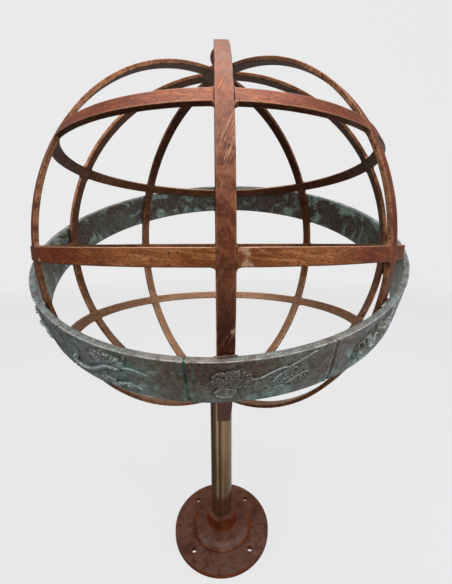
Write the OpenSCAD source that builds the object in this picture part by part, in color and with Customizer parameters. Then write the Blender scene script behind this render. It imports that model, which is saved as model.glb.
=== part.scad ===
// Armillary sphere: a cage of eight meridian ribs, an equator ring and two tropic rings,
// girdled by a tilted zodiac band of twelve cast panels, turning on a tube post over a round foot.
// The origin is the centre of the foot's underside and +Z runs up the polar axis.
// Longitudes count from the front, which is -Y, towards +X.

/* [Cage] */
// Outside diameter of the cage
cage_d = 800; // [740:10:820]
// Width of the flat bar
bar_w = 25; // [20:0.5:25]
// Thickness of the flat bar
bar_t = 8; // [6:0.5:8]
// Longitude of the first meridian ring
meridian_1 = 1; // [-2:0.5:3]
// Longitude of the second meridian ring
meridian_2 = 42; // [40:0.5:48]
// Longitude of the third meridian ring
meridian_3 = 83; // [80:0.5:92]
// Longitude of the fourth meridian ring
meridian_4 = 130.5; // [124:0.5:140]
// Latitude of the upper tropic ring
upper_tropic = 29.3; // [20:0.1:40]
// Latitude of the lower tropic ring, south
lower_tropic = 27.6; // [20:0.1:40]

/* [Zodiac band] */
// Height of the band
band_h = 87; // [60:1:100]
// Thickness of the band
band_t = 11.5; // [8:0.5:14]
// Tilt of the band against the equator
band_tilt = 25.5; // [20:0.5:30]
// Longitude of the band's lowest point
band_turn = -4; // [-20:1:20]
// Offset of the band along its own axis
band_lift = 4; // [0:0.5:10]
// Number of cast panels round the band
panel_count = 12; // [6:1:12]
// Angle of the first seam from the band's lowest point
first_seam = -3; // [-10:1:10]

/* [Stand] */
// Height from the floor to the centre of the cage
centre_h = 840; // [830:10:900]
// Outside diameter of the post tube
post_d = 60.3; // [57:0.1:64]
// Wall of the post tube
post_wall = 3.9; // [3:0.1:4]
// Diameter of the foot
foot_d = 280; // [260:10:320]
// Diameter of the circle of anchor holes
anchor_pcd = 220; // [200:5:220]
// Diameter of one anchor hole
anchor_d = 14; // [10:1:16]

/* [Turning joint] */
// Diameter of the spindle
spindle_d = 38; // [34:1:40]
// Length of the spindle below the cage
spindle_l = 210; // [190:5:230]
// Radial clearance of a running fit
running_gap = 0.05; // [0.03:0.01:0.09]
// Height of the lock screw's axis above the floor
lock_z = 340; // [320:5:360]

/* [Hidden] */
$fn = 96;

cage_r = cage_d / 2;
meridians = [meridian_1, meridian_2, meridian_3, meridian_4];
rib_longitudes = concat(meridians, [for (m = meridians) m + 180]);
// fit_gap parts two pieces that are brazed, pressed or bolted together
fit_gap = 0.02;
lap_gap = 0.05;
lap_r = cage_r - bar_t / 2;
over = 1;

// The hub plates lie flush in the cage, just wide enough to part the two closest ribs
rib_spacing = min([for (i = [0 : 3]) rib_longitudes[i + 1] - rib_longitudes[i]]);
hub_r = 1.01 * bar_w / 2 / sin(rib_spacing / 2);
hub_t = bar_t;
south_z = centre_h - cage_r;
north_z = centre_h + cage_r;

band_r = cage_r + 0.5;
seam_gap = 0.4;
panel_angle = 360 / panel_count;
seam_gap_angle = seam_gap / band_r * 180 / PI;
bead_r = 3.5;
bead_l = bar_w + 5;
bead_gap = 0.3;

post_r = post_d / 2;
post_bore_r = post_r - post_wall;
spindle_r = spindle_d / 2;
bush_bore_r = spindle_r + running_gap;
washer_t = 2;
bush_flange_t = 4;
post_top = south_z - washer_t - bush_flange_t;
upper_bush_l = 38;
lower_bush_l = 30;
spindle_bottom = south_z - spindle_l;
circlip_t = 2;
circlip_depth = 1.5;
circlip_proud = 2.5;
circlip_z = spindle_bottom + 3;
lower_bush_z = circlip_z + circlip_t + 1;

bolt_r = 6;
bolt_l = 45;
bolt_head_r = 10;
bolt_head_h = 8;
dowel_r = 4;
dowel_l = 20;
dowel_pitch_r = 13;

foot_r = foot_d / 2;
foot_rim_h = 12;
foot_top = 30;
collar_r = 44;
collar_top = 66;
socket_floor = 12;
grub_r = 4;
grub_l = 11;
grub_z = 50;

finial_stud_r = 5;
finial_ball_r = 20;
nut_r = 9.5;
nut_h = 8;

lock_stud_r = 5;
lock_boss_r = 13;
lock_boss_l = 18;
lock_pad_r = 4.6;
lock_pad_l = 5;
lock_tip_r = 2.5;
lock_tip_l = 3;
lock_pad_y = spindle_r + 0.1;
lock_screw_y = lock_pad_y + lock_pad_l;
lock_boss_y = post_r + lock_boss_l;
lock_knob_y = lock_boss_y + 6;
lock_knob_r = 17;
lock_knob_l = 18;

// ---- shared shapes ----

// Ring round the polar axis at one latitude, cut from the shell between two radii
module latitude_band(latitude, r_in, r_out, width) {
    rotate_extrude($fn = 360)
        rotate(latitude)
            translate([r_in, -width / 2])
                square([r_out - r_in, width]);
}

// Half ring from pole to pole that faces one longitude
module half_meridian(longitude, r_in, r_out, width) {
    rotate([0, 0, longitude - 90])
        rotate([90, 0, 0])
            rotate([0, 0, -90])
                rotate_extrude(angle = 180, $fn = 360)
                    translate([r_in, -width / 2])
                        square([r_out - r_in, width]);
}

// Upright slabs where the meridian rings pass
module meridian_slabs() {
    for (longitude = meridians)
        rotate([0, 0, longitude - 90])
            cube([2 * cage_r + 20, bar_w + 2 * lap_gap, 2 * cage_r + 20], center = true);
}

module at_cage_centre() {
    translate([0, 0, centre_h])
        children();
}

module at_band() {
    at_cage_centre()
        rotate([band_tilt, 0, band_turn])
            translate([0, 0, band_lift])
                children();
}

// Circle of copies round the polar axis
module round_axis(count, first = 0) {
    for (i = [0 : count - 1])
        rotate([0, 0, first + i * 360 / count])
            children();
}

module along_y(y) {
    translate([0, y, lock_z])
        rotate([-90, 0, 0])
            children();
}

// ---- cage ----

// A rib keeps its outer half where a ring passes under it
module meridian_rib(longitude) {
    color("saddlebrown")
        at_cage_centre()
            difference() {
                half_meridian(longitude, cage_r - bar_t, cage_r, bar_w);
                for (latitude = [0, upper_tropic, -lower_tropic])
                    latitude_band(latitude, cage_r - bar_t - over, lap_r + lap_gap, bar_w + 2 * lap_gap);
                cylinder(r = hub_r + fit_gap, h = 2 * cage_r + 20, center = true);
            }
}

// A ring keeps its inner half where a rib passes over it
module latitude_ring(latitude) {
    color("saddlebrown")
        at_cage_centre()
            difference() {
                latitude_band(latitude, cage_r - bar_t, cage_r, bar_w);
                difference() {
                    meridian_slabs();
                    latitude_band(latitude, cage_r - bar_t - over, lap_r, bar_w + 2 * over);
                }
            }
}

module hub_plate() {
    cylinder(r = hub_r, h = hub_t);
}

module north_hub_plate() {
    color("saddlebrown")
        translate([0, 0, north_z - hub_t])
            difference() {
                hub_plate();
                translate([0, 0, -over])
                    cylinder(r = finial_stud_r + lap_gap, h = hub_t + 2 * over);
            }
}

module south_hub_plate() {
    color("saddlebrown")
        translate([0, 0, south_z])
            difference() {
                hub_plate();
                translate([0, 0, -over])
                    cylinder(r = bolt_r + fit_gap, h = hub_t + 2 * over);
                round_axis(2)
                    translate([dowel_pitch_r, 0, -over])
                        cylinder(r = dowel_r + fit_gap, h = hub_t);
            }
}

module finial() {
    neck_r = 8;
    seat_r = 18;
    color("saddlebrown")
        translate([0, 0, north_z]) {
            translate([0, 0, -hub_t - nut_h - 2])
                cylinder(r = finial_stud_r, h = hub_t + nut_h + 3);
            translate([0, 0, fit_gap])
                rotate_extrude()
                    union() {
                        square([seat_r, 4]);
                        translate([0, 3])
                            square([seat_r - 4, 4]);
                        square([neck_r, 18]);
                        intersection() {
                            translate([0, 14 + finial_ball_r])
                                circle(r = finial_ball_r);
                            square([finial_ball_r, 14 + 2 * finial_ball_r]);
                        }
                    }
        }
}

module finial_nut() {
    color("saddlebrown")
        translate([0, 0, north_z - hub_t - nut_h - fit_gap])
            difference() {
                cylinder(r = nut_r, h = nut_h, $fn = 6);
                translate([0, 0, -over])
                    cylinder(r = finial_stud_r + fit_gap, h = nut_h + 2 * over);
            }
}

// ---- zodiac band ----

// Panels are numbered from the one that spans the band's lowest point
module zodiac_panel(number) {
    start = first_seam + (number - 1) * panel_angle + seam_gap_angle / 2;
    color("cadetblue")
        at_band()
            rotate([0, 0, start - 90])
                rotate_extrude(angle = panel_angle - seam_gap_angle, $fn = 360)
                    translate([band_r, -band_h / 2])
                        square([band_t, band_h]);
}

// Latitude at which a circle of this radius on a rib's plane passes a height of the tilted band
function crossing_latitude(longitude, height, radius) =
    let (a = sin(band_tilt) * cos(longitude - band_turn), b = cos(band_tilt))
    atan2(b, a) - acos(height / radius / sqrt(a * a + b * b));

// A bead lies in the corner between a rib's outer face and an edge of the band
module braze_bead(longitude, side) {
    reach = cage_r + bead_r + bead_gap;
    height = side * (band_h / 2 + bead_r + bead_gap);
    latitude = crossing_latitude(longitude, band_lift + height, reach);
    turned = longitude - band_turn;
    across = cos(latitude) * sin(turned);
    low = cos(latitude) * cos(turned) * cos(band_tilt) - sin(latitude) * sin(band_tilt);
    at_band()
        rotate([0, 0, atan2(across, low) - 90])
            translate([reach * sqrt(across * across + low * low), 0, height])
                rotate([90, 0, 0])
                    cylinder(r = bead_r, h = bead_l, center = true);
}

module band_braze_beads() {
    color("peru")
        for (longitude = rib_longitudes, side = [-1, 1])
            braze_bead(longitude, side);
}

// ---- turning joint ----

module spindle() {
    color("goldenrod")
        difference() {
            translate([0, 0, spindle_bottom])
                cylinder(r = spindle_r, h = spindle_l - fit_gap);
            translate([0, 0, south_z - bolt_l])
                cylinder(r = bolt_r + fit_gap, h = bolt_l + over);
            round_axis(2)
                translate([dowel_pitch_r, 0, south_z - dowel_l / 2 - 1])
                    cylinder(r = dowel_r + fit_gap, h = dowel_l);
            translate([0, 0, circlip_z])
                difference() {
                    cylinder(r = spindle_r + over, h = circlip_t + 2 * lap_gap);
                    translate([0, 0, -over])
                        cylinder(r = spindle_r - circlip_depth, h = circlip_t + 2 * over + 2 * lap_gap);
                }
        }
}

module spindle_bolt() {
    color("silver")
        translate([0, 0, south_z]) {
            translate([0, 0, -bolt_l + 2])
                cylinder(r = bolt_r, h = bolt_l + hub_t - 2 + over);
            translate([0, 0, hub_t + fit_gap])
                cylinder(r = bolt_head_r, h = bolt_head_h, $fn = 6);
        }
}

module spindle_dowels() {
    color("silver")
        round_axis(2)
            translate([dowel_pitch_r, 0, south_z - dowel_l / 2])
                cylinder(r = dowel_r, h = dowel_l / 2 + hub_t - 2);
}

// Open spring ring in the groove at the spindle's lower end
module spindle_circlip() {
    color("silver")
        translate([0, 0, circlip_z + lap_gap])
            rotate([0, 0, 15])
                rotate_extrude(angle = 330)
                    translate([spindle_r - circlip_depth + fit_gap, 0])
                        square([circlip_depth + circlip_proud, circlip_t]);
}

module thrust_washer() {
    color("goldenrod")
        translate([0, 0, south_z - washer_t + fit_gap])
            difference() {
                cylinder(r = post_r - 1, h = washer_t - 2 * fit_gap);
                translate([0, 0, -over])
                    cylinder(r = bush_bore_r, h = washer_t + 2 * over);
            }
}

module upper_bush() {
    color("goldenrod")
        difference() {
            union() {
                translate([0, 0, post_top + fit_gap])
                    cylinder(r = post_r, h = bush_flange_t - fit_gap);
                translate([0, 0, post_top - upper_bush_l])
                    cylinder(r = post_bore_r - fit_gap, h = upper_bush_l + over);
            }
            translate([0, 0, post_top - upper_bush_l - over])
                cylinder(r = bush_bore_r, h = upper_bush_l + bush_flange_t + 2 * over);
        }
}

module lower_bush() {
    color("goldenrod")
        translate([0, 0, lower_bush_z])
            difference() {
                cylinder(r = post_bore_r - fit_gap, h = lower_bush_l);
                translate([0, 0, -over])
                    cylinder(r = bush_bore_r, h = lower_bush_l + 2 * over);
            }
}

// ---- stand ----

module post_tube() {
    color("darkgoldenrod")
        difference() {
            translate([0, 0, socket_floor + fit_gap])
                cylinder(r = post_r, h = post_top - socket_floor - fit_gap);
            cylinder(r = post_bore_r, h = post_top + over);
            along_y(post_bore_r - 5)
                cylinder(r = lock_stud_r + running_gap, h = post_wall + 10);
        }
}

// Turned foot: flat disc, rounded shoulder and a collar that holds the post
module foot() {
    shoulder_r = foot_top - foot_rim_h;
    color("saddlebrown")
        difference() {
            rotate_extrude()
                difference() {
                    union() {
                        square([foot_r, foot_rim_h]);
                        square([foot_r / 2, foot_top]);
                        square([collar_r, collar_top]);
                        intersection() {
                            translate([foot_r / 2, foot_rim_h])
                                circle(r = shoulder_r);
                            square([foot_r, foot_top]);
                        }
                    }
                    translate([0, socket_floor])
                        square([post_r + fit_gap, collar_top]);
                }
            round_axis(4, 45)
                translate([anchor_pcd / 2, 0, -over])
                    cylinder(r = anchor_d / 2, h = foot_rim_h + 2 * over);
            round_axis(3, 30)
                translate([post_r - over, 0, grub_z])
                    rotate([0, 90, 0])
                        cylinder(r = grub_r + fit_gap, h = collar_r - post_r + 2 * over);
        }
}

module foot_grub_screws() {
    color("silver")
        round_axis(3, 30)
            translate([post_r + fit_gap, 0, grub_z])
                rotate([0, 90, 0])
                    difference() {
                        cylinder(r = grub_r, h = grub_l);
                        translate([0, 0, grub_l - 4])
                            cylinder(r = 2.3, h = 5, $fn = 6);
                    }
}

// ---- lock ----

// Threaded boss brazed to the back of the tube
module lock_boss() {
    color("darkgoldenrod")
        difference() {
            along_y(0)
                cylinder(r = lock_boss_r, h = lock_boss_y);
            cylinder(r = post_r + fit_gap, h = post_top);
            along_y(0)
                cylinder(r = lock_stud_r + running_gap, h = lock_boss_y + over);
        }
}

// The pad slides without turning and bears on the spindle
module lock_pad() {
    color("goldenrod")
        difference() {
            along_y(lock_pad_y)
                cylinder(r = lock_pad_r, h = lock_pad_l - lap_gap);
            along_y(lock_screw_y - lock_tip_l - lap_gap)
                cylinder(r = lock_tip_r + running_gap, h = lock_tip_l + over);
        }
}

module lock_screw() {
    color("silver") {
        along_y(lock_screw_y)
            cylinder(r = lock_stud_r, h = lock_knob_y + lock_knob_l - 5 - lock_screw_y);
        along_y(lock_screw_y - lock_tip_l)
            cylinder(r = lock_tip_r, h = lock_tip_l + over);
    }
}

// Five-lobed knob with a blind hole for the screw
module lock_knob() {
    lobes = 5;
    color("saddlebrown")
        along_y(lock_knob_y)
            difference() {
                union() {
                    cylinder(r = lock_boss_r - 2, h = lock_knob_l);
                    translate([0, 0, 4])
                        round_axis(lobes)
                            translate([lock_knob_r - 6, 0, 0])
                                cylinder(r = 6, h = lock_knob_l - 4);
                }
                translate([0, 0, -over])
                    cylinder(r = lock_stud_r + fit_gap, h = lock_knob_l - 5 + over + fit_gap);
            }
}

meridian_rib(rib_longitudes[0]);  // meridian_rib_1
meridian_rib(rib_longitudes[1]);  // meridian_rib_2
meridian_rib(rib_longitudes[2]);  // meridian_rib_3
meridian_rib(rib_longitudes[3]);  // meridian_rib_4
meridian_rib(rib_longitudes[4]);  // meridian_rib_5
meridian_rib(rib_longitudes[5]);  // meridian_rib_6
meridian_rib(rib_longitudes[6]);  // meridian_rib_7
meridian_rib(rib_longitudes[7]);  // meridian_rib_8
latitude_ring(0);  // equator_ring
latitude_ring(upper_tropic);  // upper_tropic_ring
latitude_ring(-lower_tropic);  // lower_tropic_ring
zodiac_panel(1);  // zodiac_panel_01
zodiac_panel(2);  // zodiac_panel_02
zodiac_panel(3);  // zodiac_panel_03
zodiac_panel(4);  // zodiac_panel_04
zodiac_panel(5);  // zodiac_panel_05
zodiac_panel(6);  // zodiac_panel_06
zodiac_panel(7);  // zodiac_panel_07
zodiac_panel(8);  // zodiac_panel_08
zodiac_panel(9);  // zodiac_panel_09
zodiac_panel(10);  // zodiac_panel_10
zodiac_panel(11);  // zodiac_panel_11
zodiac_panel(12);  // zodiac_panel_12
band_braze_beads();
north_hub_plate();
south_hub_plate();
finial();
finial_nut();
spindle();
spindle_bolt();
spindle_dowels();
spindle_circlip();
thrust_washer();
upper_bush();
lower_bush();
post_tube();
foot();
foot_grub_screws();
lock_boss();
lock_pad();
lock_screw();
lock_knob();
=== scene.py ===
"""Looks of the armillary sphere: hammered bronze bars, a cast verdigris band and a turned stand."""

import itertools
import math

import bpy
import numpy as np
from mathutils import Matrix, Vector


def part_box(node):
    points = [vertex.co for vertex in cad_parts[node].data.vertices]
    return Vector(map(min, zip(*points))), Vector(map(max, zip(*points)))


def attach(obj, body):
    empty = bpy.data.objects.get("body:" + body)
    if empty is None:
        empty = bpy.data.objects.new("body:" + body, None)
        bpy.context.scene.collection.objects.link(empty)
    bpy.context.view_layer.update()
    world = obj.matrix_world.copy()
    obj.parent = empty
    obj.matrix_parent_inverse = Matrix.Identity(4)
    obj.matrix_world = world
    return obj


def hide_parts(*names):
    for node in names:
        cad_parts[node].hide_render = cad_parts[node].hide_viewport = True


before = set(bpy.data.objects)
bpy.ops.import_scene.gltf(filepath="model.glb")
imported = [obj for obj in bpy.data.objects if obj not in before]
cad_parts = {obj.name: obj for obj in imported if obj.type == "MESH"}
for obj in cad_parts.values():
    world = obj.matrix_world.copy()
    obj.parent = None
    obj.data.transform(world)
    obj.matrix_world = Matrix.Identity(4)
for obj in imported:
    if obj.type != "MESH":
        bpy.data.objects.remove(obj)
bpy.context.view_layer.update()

MM = 0.001
SEED = 7

# ---- sizes read from the frame ----

UP = np.array([0.0, 0.0, 1.0])


def node_points(name):
    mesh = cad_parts[name].data
    points = np.zeros(len(mesh.vertices) * 3, np.float32)
    mesh.vertices.foreach_get("co", points)
    return points.reshape(-1, 3).astype(float)


def node_box(name):
    low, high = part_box(name)
    return np.array(low), np.array(high)


RIBS = [f"meridian_rib_{i}" for i in range(1, 9)]
PANELS = [f"zodiac_panel_{i:02d}" for i in range(1, 13)]

equator_low, equator_high = node_box("equator_ring")
R = (equator_high[0] - equator_low[0]) / 2
CENTRE = (equator_low + equator_high) / 2
BAR_W = equator_high[2] - equator_low[2]
north_low, north_high = node_box("north_hub_plate")
BAR_T = north_high[2] - north_low[2]
HUB_R = (north_high[0] - north_low[0]) / 2
HUB_LATITUDE = math.acos((HUB_R + 0.2 * MM) / R)


def facing(name):
    """Longitude that a rib faces: 0 is the front, -Y, and it counts towards +X."""
    x, y, _ = (node_points(name) - CENTRE).mean(0)
    return math.atan2(x, -y)


def ring_latitude(name):
    low, high = node_box(name)
    return math.asin(((low[2] + high[2]) / 2 - CENTRE[2]) / (R - BAR_T / 2))


def outward(latitude, longitude):
    """Direction from the cage's centre."""
    flat = np.cos(latitude)
    x, y, z = np.broadcast_arrays(flat * np.sin(longitude), -flat * np.cos(longitude), np.sin(latitude))
    return np.stack([x, y, z], -1)


RIB_LONGITUDES = [facing(name) for name in RIBS]
RING_LATITUDES = {
    "equator_ring": 0.0,
    "upper_tropic_ring": ring_latitude("upper_tropic_ring"),
    "lower_tropic_ring": ring_latitude("lower_tropic_ring"),
}

band_points = np.concatenate([node_points(name) for name in PANELS])
BAND_CENTRE = np.mean([node_points(name).mean(0) for name in PANELS], 0)
_, _, axes = np.linalg.svd(band_points - BAND_CENTRE, full_matrices=False)
BAND_AXIS = axes[2] * np.sign(axes[2] @ UP)
BAND_LOW = -(UP - (UP @ BAND_AXIS) * BAND_AXIS)
BAND_LOW /= np.linalg.norm(BAND_LOW)
BAND_RIGHT = np.cross(BAND_AXIS, BAND_LOW)
# the band's own axis runs through the cage centre
BAND_CENTRE = CENTRE + ((BAND_CENTRE - CENTRE) @ BAND_AXIS) * BAND_AXIS


def band_coordinates(points):
    """Angle from the lowest point, radius and height of points in the band's own frame."""
    local = points - BAND_CENTRE
    x, y, z = local @ BAND_LOW, local @ BAND_RIGHT, local @ BAND_AXIS
    return np.arctan2(y, x), np.hypot(x, y), z


_, band_radius, band_height = band_coordinates(band_points)
BAND_R_IN, BAND_R_OUT = band_radius.min(), band_radius.max()
BAND_H = band_height.max() - band_height.min()
BAND_LIFT = (BAND_CENTRE - CENTRE) @ BAND_AXIS


# ---- noise ----

def lattice(ix, iy, iz, seed):
    """Repeatable random value from 0 to 1 at whole-number lattice points."""
    with np.errstate(over="ignore"):
        h = ix.astype(np.uint32) * np.uint32(374761393)
        h = h + iy.astype(np.uint32) * np.uint32(668265263)
        h = h + iz.astype(np.uint32) * np.uint32(2147483647)
        h = h + np.uint32(seed * 1013904223 % 4294967295)
        h = (h ^ (h >> np.uint32(13))) * np.uint32(1274126177)
        h = h ^ (h >> np.uint32(16))
    return (h & np.uint32(0xFFFFFF)).astype(float) / 0xFFFFFF


def noise(points, scale, seed=0):
    """Smooth value noise from -1 to 1 with features of about the given size."""
    p = np.asarray(points, float) / scale
    cell = np.floor(p)
    f = p - cell
    f = f * f * (3 - 2 * f)
    cell = cell.astype(np.int64)
    total = np.zeros(p.shape[:-1])
    for corner in itertools.product((0, 1), repeat=3):
        weight = 1.0
        for axis, step in enumerate(corner):
            weight = weight * (f[..., axis] if step else 1 - f[..., axis])
        total += weight * lattice(*(cell[..., axis] + step for axis, step in enumerate(corner)), seed)
    return 2 * total - 1


def fractal(points, scale, octaves=3, seed=0):
    total, size, norm = 0.0, 1.0, 0.0
    for octave in range(octaves):
        total = total + size * noise(points, scale / 2**octave, seed + octave)
        norm += size
        size *= 0.55
    return total / norm


def shake(points, scale, seed):
    """Noise for each of the three directions."""
    return np.stack([noise(points, scale, seed + k) for k in range(3)], -1)


# ---- mesh helpers ----

def make_object(name, vertices, faces, material, smooth=True):
    mesh = bpy.data.meshes.new(name)
    points = [tuple(v) for v in np.asarray(vertices, float)]
    mesh.from_pydata(points, [], [tuple(int(i) for i in face) for face in faces])
    mesh.validate()
    mesh.update()
    mesh.polygons.foreach_set("use_smooth", [smooth] * len(mesh.polygons))
    mesh.materials.append(material)
    obj = bpy.data.objects.new(name, mesh)
    bpy.context.scene.collection.objects.link(obj)
    return obj


def grid_faces(rows, columns, start=0, wrap_rows=False, wrap_columns=False):
    i = np.arange(rows if wrap_rows else rows - 1)
    j = np.arange(columns if wrap_columns else columns - 1)
    a, b = np.meshgrid(i, j, indexing="ij")
    a2, b2 = (a + 1) % rows, (b + 1) % columns
    quads = np.stack([a * columns + b, a2 * columns + b, a2 * columns + b2, a * columns + b2], -1)
    return quads.reshape(-1, 4) + start


def set_uv(obj, vertex_uv, name="bar"):
    layer = obj.data.uv_layers.new(name=name)
    loops = np.zeros(len(obj.data.loops), np.int32)
    obj.data.loops.foreach_get("vertex_index", loops)
    layer.data.foreach_set("uv", np.asarray(vertex_uv, np.float32)[loops].ravel())


def set_attribute(obj, name, values):
    attribute = obj.data.attributes.new(name, "FLOAT", "POINT")
    attribute.data.foreach_set("value", np.asarray(values, np.float32).ravel())


def capped_tube(rows, columns, start=0):
    """Faces of a tube of rings, with one face over each end."""
    first = list(range(start, start + columns))
    last = [(rows - 1) * columns + k for k in first]
    return grid_faces(rows, columns, start, wrap_columns=True).tolist() + [first[::-1], last]


def put_on_cage(obj, replaced=None):
    if replaced:
        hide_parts(replaced)
    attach(obj, "cage")


# ---- node helpers ----

def rgba(value):
    """Linear colour from a grey level or from 0-255 screen values; a socket passes through."""
    if isinstance(value, (int, float)):
        return (value, value, value, 1.0)
    if isinstance(value, tuple) and len(value) == 3:
        shares = [c / 255 for c in value]
        return tuple(c / 12.92 if c <= 0.04045 else ((c + 0.055) / 1.055) ** 2.4 for c in shares) + (1.0,)
    return value


class Nodes:
    """Short names for building a material's node tree."""

    def __init__(self, name=None, tree=None):
        self.tree = tree
        if name:
            self.material = bpy.data.materials.new(name)
            self.material.use_nodes = True
            self.tree = self.material.node_tree
            self.shader = self.tree.nodes["Principled BSDF"]

    def add(self, kind, **inputs):
        node = self.tree.nodes.new(kind)
        for key, value in inputs.items():
            if hasattr(node, key) and key not in node.inputs:
                setattr(node, key, value)
            else:
                self.feed(node.inputs[key], value)
        return node

    def feed(self, socket, value):
        if isinstance(value, bpy.types.NodeSocket):
            self.tree.links.new(value, socket)
        else:
            socket.default_value = value

    def position(self, scale=(1, 1, 1)):
        coords = self.add("ShaderNodeTexCoord").outputs["Object"]
        return self.scaled(coords, scale)

    def along_bar(self, scale, turn=0.0):
        """Metres along the bar and round its section, turned first, then scaled."""
        uv = self.add("ShaderNodeUVMap", uv_map="bar").outputs["UV"]
        if turn:
            uv = self.scaled(uv, (1, 1, 1), turn)
        return self.scaled(uv, scale)

    def scaled(self, vector, scale, turn=0.0):
        node = self.add("ShaderNodeMapping", Vector=vector, Scale=scale, Rotation=(0.0, 0.0, turn))
        return node.outputs["Vector"]

    def facing_up(self):
        """0 where a face looks down, 1 where it looks up."""
        normal = self.add("ShaderNodeNewGeometry").outputs["True Normal"]
        z = self.add("ShaderNodeSeparateXYZ", Vector=normal).outputs["Z"]
        return self.math("ADD", self.times(z, 0.5), 0.5)

    def grazing(self):
        return self.add("ShaderNodeLayerWeight", Blend=0.5).outputs["Facing"]

    def noise(self, vector, scale, detail=4.0, roughness=0.6, distortion=0.0):
        node = self.add("ShaderNodeTexNoise", Vector=vector, Scale=scale, Detail=detail,
                        Roughness=roughness, Distortion=distortion)
        return node.outputs["Fac"]

    def ramp(self, value, *stops):
        """stops are (position, grey level or 0-255 colour)."""
        node = self.add("ShaderNodeValToRGB")
        self.feed(node.inputs["Fac"], value)
        elements = node.color_ramp.elements
        while len(elements) < len(stops):
            elements.new(0.5)
        for element, (position, colour) in zip(elements, stops):
            element.position = position
            element.color = rgba(colour)
        return node.outputs["Color"]

    def mix(self, factor, a, b, blend="MIX"):
        node = self.add("ShaderNodeMix", data_type="RGBA", blend_type=blend, clamp_factor=True)
        self.feed(node.inputs[0], factor)
        self.feed(node.inputs[6], rgba(a))
        self.feed(node.inputs[7], rgba(b))
        return node.outputs[2]

    def layer(self, base, value, low, high, colour):
        """Lays a colour over the base. low and high are (value, strength of the layer there)."""
        return self.mix(self.ramp(value, low, high), base, colour)

    def layers(self, base, *coats):
        """Several layers in turn, each as (value, low, high, colour)."""
        for coat in coats:
            base = self.layer(base, *coat)
        return base

    def math(self, operation, a, b=0.0):
        node = self.add("ShaderNodeMath", operation=operation)
        self.feed(node.inputs[0], a)
        self.feed(node.inputs[1], b)
        return node.outputs[0]

    def times(self, a, b):
        return self.math("MULTIPLY", a, b)

    def attribute(self, name):
        return self.add("ShaderNodeAttribute", attribute_name=name).outputs["Fac"]

    def bump(self, height, strength, distance):
        node = self.add("ShaderNodeBump", Height=height, Strength=strength, Distance=distance)
        return node.outputs["Normal"]

    def finish(self, colour, roughness, metallic, normal=None):
        self.feed(self.shader.inputs["Base Color"], colour)
        self.feed(self.shader.inputs["Roughness"], roughness)
        self.feed(self.shader.inputs["Metallic"], metallic)
        if normal is not None:
            self.feed(self.shader.inputs["Normal"], normal)
        return self.material


# ---- materials ----

# longitude, latitude in degrees and size in mm of spots worn down to bare metal
WORN_SPOTS = [(4.3, 1.0, 7.0), (4.6, -1.0, 6.0), (2.6, -13.4, 6.0), (-44.0, -1.2, 5.0)]


def ring_face(n, cloud, mottle, up):
    """Golden outer face with fine dark dashes. Gives its colour, painted shade, edge colour with painted
    light and edge strength.
    """
    dash = n.noise(n.along_bar((190.0, 820.0, 1.0)), 1.0, 2.0, 0.5, 0.1)
    streak = n.noise(n.along_bar((40.0, 500.0, 1.0), -0.35), 1.0, 4.0, 0.7, 0.4)
    sheen = n.noise(n.along_bar((22.0, 160.0, 1.0), 0.15), 1.0, 4.0, 0.65, 0.6)
    outer = n.ramp(cloud, (0.32, (118, 58, 20)), (0.5, (142, 80, 34)), (0.68, (152, 96, 56)))
    outer = n.layer(outer, mottle, (0.38, 0.7), (0.54, 0.0), (92, 42, 16))
    outer = n.layer(outer, sheen, (0.51, 0.0), (0.67, 0.6), (198, 136, 86))
    streaks = n.times(n.ramp(cloud, (0.40, 0.7), (0.50, 0.0)), n.ramp(streak, (0.48, 0.0), (0.60, 1.0)))
    outer = n.mix(streaks, outer, (186, 130, 88))
    dashes = n.times(n.ramp(mottle, (0.40, 0.35), (0.52, 1.0)), n.ramp(dash, (0.54, 0.0), (0.60, 0.9)))
    outer = n.mix(dashes, outer, (50, 22, 12))
    # painted shade: deeper gold where the face is seen at a slant
    painted_shade = n.ramp(n.grazing(), (0.2, (255, 250, 240)), (0.5, (212, 160, 96)))
    # edges: painted highlight along the upper edge, painted shade along the lower edge
    edge_wear_and_light = n.mix(n.ramp(up, (0.48, 0.0), (0.60, 1.0)), (46, 26, 20), (214, 172, 138))
    strength = n.ramp(mottle, (0.35, 0.85), (0.65, 0.45))
    return outer, painted_shade, edge_wear_and_light, strength


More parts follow.
